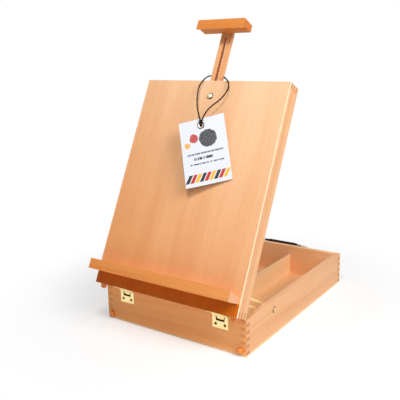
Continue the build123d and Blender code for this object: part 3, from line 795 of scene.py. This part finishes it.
LID_WALL = 28.5 * MM
PANEL_THICKNESS = 4 * MM
FLOOR_THICKNESS = 3 * MM
DIVIDER_LEFT = 35.8 * MM
DIVIDER_THICKNESS = 3 * MM
panel_ply = ply_finish(
    "beech_faced_panel",
    UP_PANEL,
    (0.62, 0.18, 0.0),
    # tones: the painted shadow under the ledge, then the painted light's low left and high right
    (colour(214, 112, 16), colour(236, 169, 110), colour(244, 201, 160)),
    (colour(186, 85, 6), colour(218, 138, 80), colour(231, 174, 128)),
    LID_OUTWARD.dot(LID_RIM) + LID_WALL,
    PANEL_THICKNESS,
    colour(255, 240, 206),
    # strong pale edge wear: partly real wear, partly a painted highlight along the panel's edges
    wear=0.8,
)
floor_ply = ply_finish(
    "plywood_floor",
    IN_FLOOR,
    (0.55, 0.15, 0.0),
    colour(253, 208, 158),
    colour(236, 176, 120),
    0.0,
    FLOOR_THICKNESS,
    colour(250, 226, 184),
)
divider_ply = ply_finish(
    "plywood_divider",
    ALONG_CASE,
    (0.25, 0.75, 0.0),
    colour(255, 218, 168),
    colour(236, 184, 130),
    DIVIDER_LEFT,
    DIVIDER_THICKNESS,
    colour(252, 230, 190),
)
brass = metal_finish(
    "yellow_brass", colour(255, 236, 176), colour(232, 192, 118), (2500, 90, 90), 0.17
)
stay_brass = metal_finish(
    "stay_brass", colour(255, 236, 180), colour(232, 196, 130), (60, 2600, 2600), 0.24
)
# dark brass as painted shade: on the hinge pins it stands for the shadow in the gap above the
# leaves, on the screws partly for the shade in their recesses
shade_dark_brass = metal_finish("shade_dark_brass", colour(112, 84, 44), colour(66, 46, 22), UNROLLED, 0.35)
dark_steel = metal_finish("dark_steel", colour(84, 70, 60), colour(46, 38, 34), UNROLLED, 0.3)
zinc = metal_finish("bright_zinc", colour(222, 222, 220), colour(168, 168, 166), UNROLLED, 0.2)


def dome_finish(name, axis, bright, painted_rim_shade, low=0.62, high=0.93):
    """A plated bolt head: a painted highlight on the crown, painted shade toward its rim.

    low and high are how far the metal faces along the bolt where the painted rim shade ends and
    starts.
    """
    finish, tree, shader, place, facing = new_finish(name)
    # painted highlight on the crown and painted shade toward the rim, by where the metal faces
    painted_highlight_share = rise(tree, calc(tree, "ABSOLUTE", dot(tree, facing, axis)), low, high)
    blotch = cloud(tree, place, 500.0, 3.0)
    painted_highlight_share = times(tree, painted_highlight_share, rise(tree, blotch, 0.25, 0.6, 0.75, 1.0))
    tone = mix(tree, painted_highlight_share, painted_rim_shade, bright)
    feed_metal(tree, shader, place, tone, tone, bright, UNROLLED, 0.18, 0.1)
    return finish


# bright crown and dark rim: painted highlight and painted shade
mast_bolt_steel = dome_finish(
    "mast_bolt", OUTWARD, colour(250, 240, 212), colour(64, 46, 28), 0.7, 0.96
)
side_bolt_steel = dome_finish("side_bolts", WORLD_X, colour(236, 206, 160), colour(126, 92, 56))


def plastic_finish(name, tone, shade, grain, strength, rough, gloss, bare=None):
    """Moulded plastic with a fine pebbled skin. Its steel core shows across X where bare says."""
    finish, tree, shader, place, _ = new_finish(name)
    cells = put(tree, "ShaderNodeTexVoronoi", {"Vector": place, "Scale": grain})
    pebbles = cells.outputs["Distance"]
    fine = cloud(tree, place, grain * 2.3, 3.0)
    relief = calc(tree, "MULTIPLY_ADD", fine, 0.35, pebbles)
    low_tone = mix(tree, rise(tree, pebbles, 0.1, 0.6), shade, tone)
    skin, rough = worn_skin(tree, place, low_tone, shade, (0.3, 0.14), rough, tone, 0.3)
    if bare:
        across = calc(tree, "ABSOLUTE", dot(tree, place, WORLD_X))
        steel = band(tree, across, *bare, 0.2 * MM)
        skin = mix(tree, steel, skin, colour(232, 226, 216))
        feed(tree, shader, Metallic=steel)
    feed(tree, shader, Base_Color=skin, Roughness=rough)
    emboss(tree, shader, relief, strength, 0.3 * MM)
    shader.inputs["Specular IOR Level"].default_value = gloss
    return finish


GRIP_BARE = (45.0 * MM, 48.2 * MM)
grip_plastic = plastic_finish(
    "dark_grip", colour(52, 30, 22), colour(28, 16, 12), 900.0, 0.5, 0.5, 0.08, GRIP_BARE
)
foot_plastic = plastic_finish(
    "amber_feet", colour(230, 138, 44), colour(196, 100, 22), 1500.0, 0.12, 0.24, 0.6
)


def cord_finish():
    """Dark waxed thread."""
    finish, tree, shader, place, _ = new_finish("waxed_thread")
    hairs = cloud(tree, place, 5200.0, 3.0, 0.6)
    tone = mix(tree, rise(tree, hairs, 0.3, 0.75), colour(20, 11, 6), colour(44, 26, 15))
    rough = calc(tree, "MULTIPLY_ADD", hairs, 0.2, 0.5)
    feed(tree, shader, Base_Color=tone, Roughness=rough)
    emboss(tree, shader, hairs, 0.4, 0.1 * MM)
    shader.inputs["Specular IOR Level"].default_value = 0.08
    return finish


thread = cord_finish()

# ---------------------------------------------------------------- the hanging tag
# In mm. The middle of the tag is in lid coordinates, the eyelet counts from that middle.
TAG_MIDDLE = Vector((25.2, 261.1, 45.717))
TAG_SWING = math.radians(12)
TAG_TURN = math.radians(21.5)
TAG_WIDTH = 83.5
TAG_HEIGHT = 120.5
HALF_CARD = 0.25
EYELET = Vector((-1.7, 48.05, 0.0))
CARD_HOLE = 3.0
tag_frame = (
    lid_frame
    @ Matrix.Translation(TAG_MIDDLE * MM)
    @ Matrix.Rotation(TAG_SWING, 4, "Y")
    @ Matrix.Rotation(TAG_TURN, 4, "Z")
)


def card_lift(x, y):
    """How far the card bends off flat: its free corners lift a little."""
    out = (x / (TAG_WIDTH / 2)) ** 2
    low_corners = 1.1 * max(0.0, (30 - y) / 90) ** 2
    high_corners = 0.35 * max(0.0, (y - 20) / 40)
    return out * (low_corners + high_corners)


def make_card():
    """The card: two skins of one fine grid, a rim round them and a hole for the eyelet."""
    columns, rows = 42, 60
    mesh = bmesh.new()
    skins = []
    spots = {}
    for skin, offset in ((0, HALF_CARD), (1, -HALF_CARD)):
        for row in range(rows + 1):
            for column in range(columns + 1):
                x = TAG_WIDTH * (column / columns - 0.5)
                y = TAG_HEIGHT * (row / rows - 0.5)
                away = Vector((x, y)) - EYELET.xy
                if 0 < away.length < CARD_HOLE + 1.2:
                    x, y = EYELET.xy + away.normalized() * max(CARD_HOLE + 0.1, away.length)
                spot = Vector((x, y, card_lift(x, y) + offset)) * MM
                spots[skin, row, column] = mesh.verts.new(spot)
        skins.append([])
        for row in range(rows):
            for column in range(columns):
                corners = [
                    spots[skin, row, column],
                    spots[skin, row, column + 1],
                    spots[skin, row + 1, column + 1],
                    spots[skin, row + 1, column],
                ]
                middle = sum((v.co for v in corners), Vector()) / 4 / MM
                if (middle.xy - EYELET.xy).length < CARD_HOLE:
                    continue
                skins[-1].append(mesh.faces.new(corners if skin == 0 else corners[::-1]))
    loose = [v for v in mesh.verts if not v.link_faces]
    bmesh.ops.delete(mesh, geom=loose, context="VERTS")
    alive = {key: vert for key, vert in spots.items() if vert.is_valid}
    partner = {vert: alive.get((1 - key[0], key[1], key[2])) for key, vert in alive.items()}
    rim = [edge for face in skins[0] for edge in face.edges if len(edge.link_faces) == 1]
    for edge in rim:
        one, other = edge.verts
        mesh.faces.new((other, one, partner[one], partner[other]))
    card = mesh_object("shop_tag_card", mesh, smooth=False)
    card.matrix_world = tag_frame
    return card


def disc(tree, x, y, centre, radius, wobble):
    """A dab of colour: 1 inside a round patch whose rim is uneven."""
    spot = put(tree, "ShaderNodeCombineXYZ", {"X": x, "Y": y}).outputs[0]
    away = vector_node(tree, "DISTANCE", (spot, (*centre, 0.0)))["Value"]
    return rise(tree, calc(tree, "ADD", away, wobble), radius + 0.25, radius - 0.25)


def bar(tree, x, y, centre, half_width, half_height):
    """A plain printed bar."""
    off_x = calc(tree, "ABSOLUTE", calc(tree, "SUBTRACT", x, centre[0]))
    off_y = calc(tree, "ABSOLUTE", calc(tree, "SUBTRACT", y, centre[1]))
    wide = rise(tree, off_x, half_width + 0.12, half_width - 0.12)
    high = rise(tree, off_y, half_height + 0.12, half_height - 0.12)
    return times(tree, wide, high)


def card_finish():
    """White card with dabs of paint, rows of dashes and slanted strokes on its front."""
    finish, tree, shader, place, facing = new_finish("printed_card")
    parts = put(tree, "ShaderNodeSeparateXYZ", {0: place})
    x = times(tree, parts.outputs[0], 1 / MM)
    y = times(tree, parts.outputs[1], 1 / MM)
    fibres = cloud(tree, place, 2600.0, 4.0, 0.65)
    soft = cloud(tree, place, 60.0, 2.0)
    paper = mix(tree, rise(tree, fibres, 0.3, 0.7), colour(224, 227, 232), colour(213, 216, 222))
    paper = mix(tree, times(tree, soft, 0.2), paper, colour(205, 210, 218))
    wobble = calc(tree, "MULTIPLY_ADD", cloud(tree, place, 220.0, 3.0), 5.0, -2.5)
    patchy = rise(tree, cloud(tree, place, 420.0, 3.0, 0.7), 0.25, 0.6, 0.78, 1.0)
    front = rise(tree, dot(tree, facing, WORLD_Z), 0.4, 0.6)
    ink = paper
    dabs = [
        ((8.0, 22.5), 16.0, colour(44, 44, 48)),
        ((-17.5, 26.5), 8.0, colour(176, 54, 42)),
        ((-30.5, 15.5), 5.0, colour(222, 168, 66)),
    ]
    for centre, radius, tone in dabs:
        share = times(tree, disc(tree, x, y, centre, radius, wobble), patchy)
        ink = mix(tree, times(tree, share, front), ink, tone)
    rules = [
        ((0.0, -2.5), 33.0, 1.5, colour(96, 98, 106)),
        ((-4.0, -11.5), 17.0, 2.3, colour(62, 64, 72)),
        ((2.0, -21.0), 31.0, 1.2, colour(72, 74, 82)),
    ]
    for index, (centre, half_width, half_height, tone) in enumerate(rules):
        share = bar(tree, x, y, centre, half_width, half_height)
        along = put(tree, "ShaderNodeCombineXYZ", {"X": x, "Y": 7.0 * index}).outputs[0]
        dashes = rise(tree, cloud(tree, along, 0.62, 1.0), 0.4, 0.46)
        share = times(tree, share, dashes)
        ink = mix(tree, times(tree, share, front), ink, tone)
    lean = calc(tree, "MULTIPLY_ADD", y, -0.6, x)
    tones = [colour(34, 32, 36), colour(184, 46, 34), colour(236, 178, 54)]
    for index in range(9):
        share = bar(tree, lean, y, (-6.4 + 8.5 * index, -46.0), 3.3, 7.2)
        ink = mix(tree, times(tree, share, front), ink, tones[index % 3])
    rough = calc(tree, "MULTIPLY_ADD", fibres, 0.15, 0.42)
    feed(tree, shader, Base_Color=ink, Roughness=rough)
    emboss(tree, shader, times(tree, fibres, 0.5), 0.15, 0.1 * MM)
    return finish


printed_card = card_finish()
tag_card = make_card()


def knot_line(centre, size, wide=1.0):
    """A small overhand knot's own line, closed. wide pulls it out sideways."""
    line = []
    steps = 72
    for step in range(steps):
        turn = 2 * math.pi * step / steps
        spot = Vector(
            (
                wide * (math.sin(turn) + 2 * math.sin(2 * turn)),
                math.cos(turn) - 2 * math.cos(2 * turn),
                -1.15 * math.sin(3 * turn),
            )
        )
        line.append(centre + size * spot)
    return line


def make_knot():
    """The knot in front of the eyelet, the loop through it and the stopper knot behind."""
    mesh = bmesh.new()
    above = 3.25
    front_centre = Vector((0.0, EYELET.y + 6.3, above))
    back_centre = EYELET + Vector((0.0, -0.9, -above - 0.6))
    add_tube(mesh, knot_line(front_centre, 0.56, 2.0), 0.95, closed=True)
    add_tube(mesh, knot_line(front_centre, 0.26, 2.4), 0.9, closed=True)
    add_tube(mesh, knot_line(back_centre, 0.62), 0.95, closed=True)
    for side in (-1.5, 1.5):
        loop = [
            front_centre + Vector((side, -0.8, 0.1)),
            front_centre + Vector((side - 0.5, -3.0, 0.0)),
            EYELET + Vector((side, 1.8, above - 0.9)),
            EYELET + Vector((side * 0.7, 0.7, 1.3)),
            EYELET + Vector((side * 0.65, -0.1, -0.4)),
            EYELET + Vector((side * 0.6, -0.5, -2.6)),
        ]
        add_tube(mesh, spaced(loop, 0.5), 1.05)
    for vertex in mesh.verts:
        vertex.co *= MM
    knot = mesh_object("tag_knot_strands", mesh)
    knot.matrix_world = tag_frame
    return knot


tag_knot = make_knot()


def make_eyelet():
    """The rolled eyelet: one closed outline turned round, with a groove that holds the card."""
    # how far out and how high, in mm
    outline = [
        (6.55, 0.27),
        (6.6, 0.45),
        (6.3, 0.72),
        (5.6, 0.92),
        (4.6, 0.98),
        (3.6, 0.82),
        (2.9, 0.48),
        (2.6, 0.1),
        (2.55, -0.3),
        (2.8, -0.6),
        (3.6, -0.78),
        (5.2, -0.74),
        (6.2, -0.5),
        (6.3, -0.27),
        (3.0, -0.27),
        (3.0, 0.27),
    ]
    steps = 48
    mesh = bmesh.new()
    rounds = []
    for step in range(steps):
        turn = 2 * math.pi * step / steps
        way = Vector((math.cos(turn), math.sin(turn), 0.0))
        spots = [(EYELET + way * reach + Vector((0, 0, high))) * MM for reach, high in outline]
        rounds.append([mesh.verts.new(spot) for spot in spots])
    close_ring(mesh, rounds)
    eyelet = mesh_object("rolled_eyelet", mesh)
    eyelet.matrix_world = tag_frame
    return eyelet


def eyelet_finish():
    """Blackened metal, with a painted highlight as a bright band on the roll round the hole."""
    finish, tree, shader, place, _ = new_finish("blackened_eyelet")
    away = vector_calc(tree, "SUBTRACT", place, tuple(EYELET * MM))
    reach = length_of(tree, stretched(tree, away, 1.0, 1.0, 0.0))
    patchy_noise = cloud(tree, place, 900.0, 3.0)
    reach = calc(tree, "MULTIPLY_ADD", patchy_noise, 0.6 * MM, reach)
    # painted highlight: the metal shows bright toward the hole
    bright = rise(tree, reach, 5.5 * MM, 4.9 * MM)
    tone = mix(tree, bright, colour(58, 54, 54), colour(238, 230, 226))
    rough = calc(tree, "MULTIPLY_ADD", patchy_noise, 0.2, 0.22)
    feed(tree, shader, Base_Color=tone, Roughness=rough, Metallic=1.0)
    emboss(tree, shader, patchy_noise, 0.1, 0.05 * MM)
    return finish


tag_eyelet = make_eyelet()


def make_ferrules():
    """The two rings that close the ends of the grip's dark sleeve, in its bends."""
    mesh = bmesh.new()
    pivot = Vector((0, 206.5, 58))
    lean = Matrix.Rotation(math.radians(-7.5), 3, "X")
    bend_radius = 10.0
    bend_middle = (36.8, 7.0)
    upright = Vector((0, 0, 1))
    # how far round the bend in degrees, and how thick there
    outline = [(43.5, 4.55), (44.5, 5.1), (47.5, 5.45), (53.0, 5.45), (56.5, 5.1), (57.5, 4.55)]
    steps = 28
    for side in (-1, 1):
        rounds = []
        for step in range(steps):
            turn = 2 * math.pi * step / steps
            row = []
            for bend, radius in outline:
                bend = math.radians(bend)
                out = Vector((side * math.sin(bend), math.cos(bend), 0.0))
                centre = Vector((side * bend_middle[0], bend_middle[1], 0.0)) + bend_radius * out
                spot = centre + radius * (math.cos(turn) * out + math.sin(turn) * upright)
                row.append(mesh.verts.new((pivot + lean @ spot) * MM))
            rounds.append(row)
        close_ring(mesh, rounds)
    return mesh_object("handle_ferrules", mesh)


handle_ferrules = make_ferrules()


# ---------------------------------------------------------------- dress the frame's own parts
def dress(names, finish, edge=0.0):
    """Gives these nodes a finish. edge is the round on their sharp edges in mm, where it is set."""
    for name in names:
        node = nodes[name]
        node.data.materials.clear()
        node.data.materials.append(finish)
        if edge:
            weld = node.modifiers.new("weld", "WELD")
            weld.merge_threshold = 0.01 * MM
            round_over = node.modifiers.new("round_over", "BEVEL")
            round_over.width = edge * MM
            round_over.segments = 2
            round_over.limit_method = "ANGLE"
            round_over.angle_limit = math.radians(35)
            round_over.use_clamp_overlap = True
            round_over.harden_normals = True


def both_of(*patterns):
    """The right-hand and the left-hand node of each pair."""
    return [pattern.format(hand) for pattern in patterns for hand in ("right", "left")]


def dress_piece(piece, finish, body):
    """Gives a new piece its finish and the body that carries it."""
    piece.data.materials.clear()
    piece.data.materials.append(finish)
    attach(piece, body)


dress(["box_near_wall"], near_board_beech, 0.3)
dress(["box_back_wall"], far_board_beech, 0.3)
dress(both_of("box_{}_wall"), side_board_beech, 0.3)
dress(["lid_near_wall", "lid_top_wall"], lid_cross_beech, 0.3)
dress(both_of("lid_{}_wall"), lid_side_beech, 0.3)
dress(["canvas_ledge"], ledge_beech, 0.5)
dress(["mast"], mast_beech, 0.5)
dress(["head_block"], head_beech, 0.6)
dress(["lid_panel"], panel_ply)
dress(["box_floor"], floor_ply, 0.2)
dress(["box_divider"], divider_ply, 0.2)
dress(both_of("hinge_box_leaf_{}", "hinge_lid_leaf_{}", "latch_hook_{}"), brass, 0.08)
dress(["stay_pivot_screws", "latch_rivets", "latch_studs"], brass, 0.08)
# pins and screws dark as painted shade at the hinges
dress(["hinge_pins", "hinge_box_screws", "hinge_lid_screws"], shade_dark_brass, 0.05)
dress(both_of("stay_{}"), stay_brass, 0.15)
dress(["mast_bolt"], mast_bolt_steel, 0.08)
dress(both_of("box_bolt_{}"), side_bolt_steel, 0.08)
dress(["handle_pins"], dark_steel, 0.08)
dress(both_of("wing_nut_{}", "handle_bracket_{}"), zinc, 0.08)
dress(["stay_washers", "mast_washer", "mast_wing_nut"], zinc, 0.08)
dress(["ledge_screws", "head_screws", "handle_screws"], zinc, 0.08)
dress(["box_feet", "lid_feet"], foot_plastic)
dress(["handle_grip"], grip_plastic, 0.3)

dress_piece(handle_ferrules, zinc, "handle")
dress_piece(tag_card, printed_card, "lid")
dress_piece(tag_eyelet, eyelet_finish(), "lid")
dress_piece(tag_knot, thread, "lid")
dress_piece(tag_cord, thread, "lid")
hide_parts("tag_card")
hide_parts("tag_eyelet")
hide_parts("tag_knot")
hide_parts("tag_cord")


# ---------------------------------------------------------------- floor, world and lamps
WHITE = (1, 1, 1, 1)


def seen_white(tree):
    """1 where the camera, a gloss or a glass looks, 0 where the light only bounces."""
    path = put(tree, "ShaderNodeLightPath").outputs
    looks = calc(tree, "MAXIMUM", path["Is Camera Ray"], path["Is Glossy Ray"])
    return calc(tree, "MAXIMUM", looks, path["Is Transmission Ray"])


def floor_finish():
    """A pale floor that shows white to the camera and in metal, and keeps the shadow."""
    finish = bpy.data.materials.new("studio_floor")
    finish.use_nodes = True
    tree = finish.node_tree
    shader = tree.nodes["Principled BSDF"]
    place = put(tree, "ShaderNodeTexCoord").outputs["Object"]
    speck = cloud(tree, place, 30.0, 3.0)
    tone = mix(tree, rise(tree, speck, 0.3, 0.7), (0.92, 0.92, 0.92, 1), (0.94, 0.94, 0.94, 1))
    feed(tree, shader, Base_Color=tone, Roughness=0.9)
    shader.inputs["Specular IOR Level"].default_value = 0.0
    far = rise(tree, length_of(tree, place), 0.2, 0.5)
    glow = put(tree, "ShaderNodeEmission", {"Color": WHITE, "Strength": 1.0})
    share = times(tree, seen_white(tree), calc(tree, "MULTIPLY_ADD", far, 0.55, 0.45))
    added = put(tree, "ShaderNodeMixShader", {0: share, 1: shader.outputs[0], 2: glow.outputs[0]})
    tree.links.new(added.outputs[0], tree.nodes["Material Output"].inputs["Surface"])
    return finish


def set_floor():
    """A wide floor just under the feet of the case."""
    mesh = bmesh.new()
    bmesh.ops.create_grid(mesh, x_segments=8, y_segments=8, size=6)
    floor = mesh_object("studio_floor", mesh)
    floor.location.z = -0.2 * MM
    floor.data.materials.append(floor_finish())


def set_world():
    """Dim white light all round. The camera and the metal see a full white room."""
    world = bpy.data.worlds.new("studio_world")
    bpy.context.scene.world = world
    world.use_nodes = True
    tree = world.node_tree
    lighting = tree.nodes["Background"]
    lighting.inputs["Color"].default_value = WHITE
    lighting.inputs["Strength"].default_value = 0.22
    backdrop = put(tree, "ShaderNodeBackground", {"Color": WHITE, "Strength": 1.0})
    fed = {0: seen_white(tree), 1: lighting.outputs[0], 2: backdrop.outputs[0]}
    chosen = put(tree, "ShaderNodeMixShader", fed)
    tree.links.new(chosen.outputs[0], tree.nodes["World Output"].inputs["Surface"])


def set_lamp(name, stand, size, power):
    """A square soft lamp, turned to the middle of the box. size is in metres, power in watts."""
    aim = Vector((0, 0, 0.2))
    lamp = bpy.data.lights.new(name, "AREA")
    lamp.shape = "SQUARE"
    lamp.size = size
    lamp.energy = power
    holder = link_object(name, lamp)
    holder.location = stand
    holder.rotation_euler = (aim - Vector(stand)).to_track_quat("-Z", "Y").to_euler()


set_floor()
set_world()
set_lamp("high_softbox", (0.38, -0.95, 1.82), 0.32, 16.4)
set_lamp("right_softbox", (1.43, -0.48, 1.34), 0.9, 26)
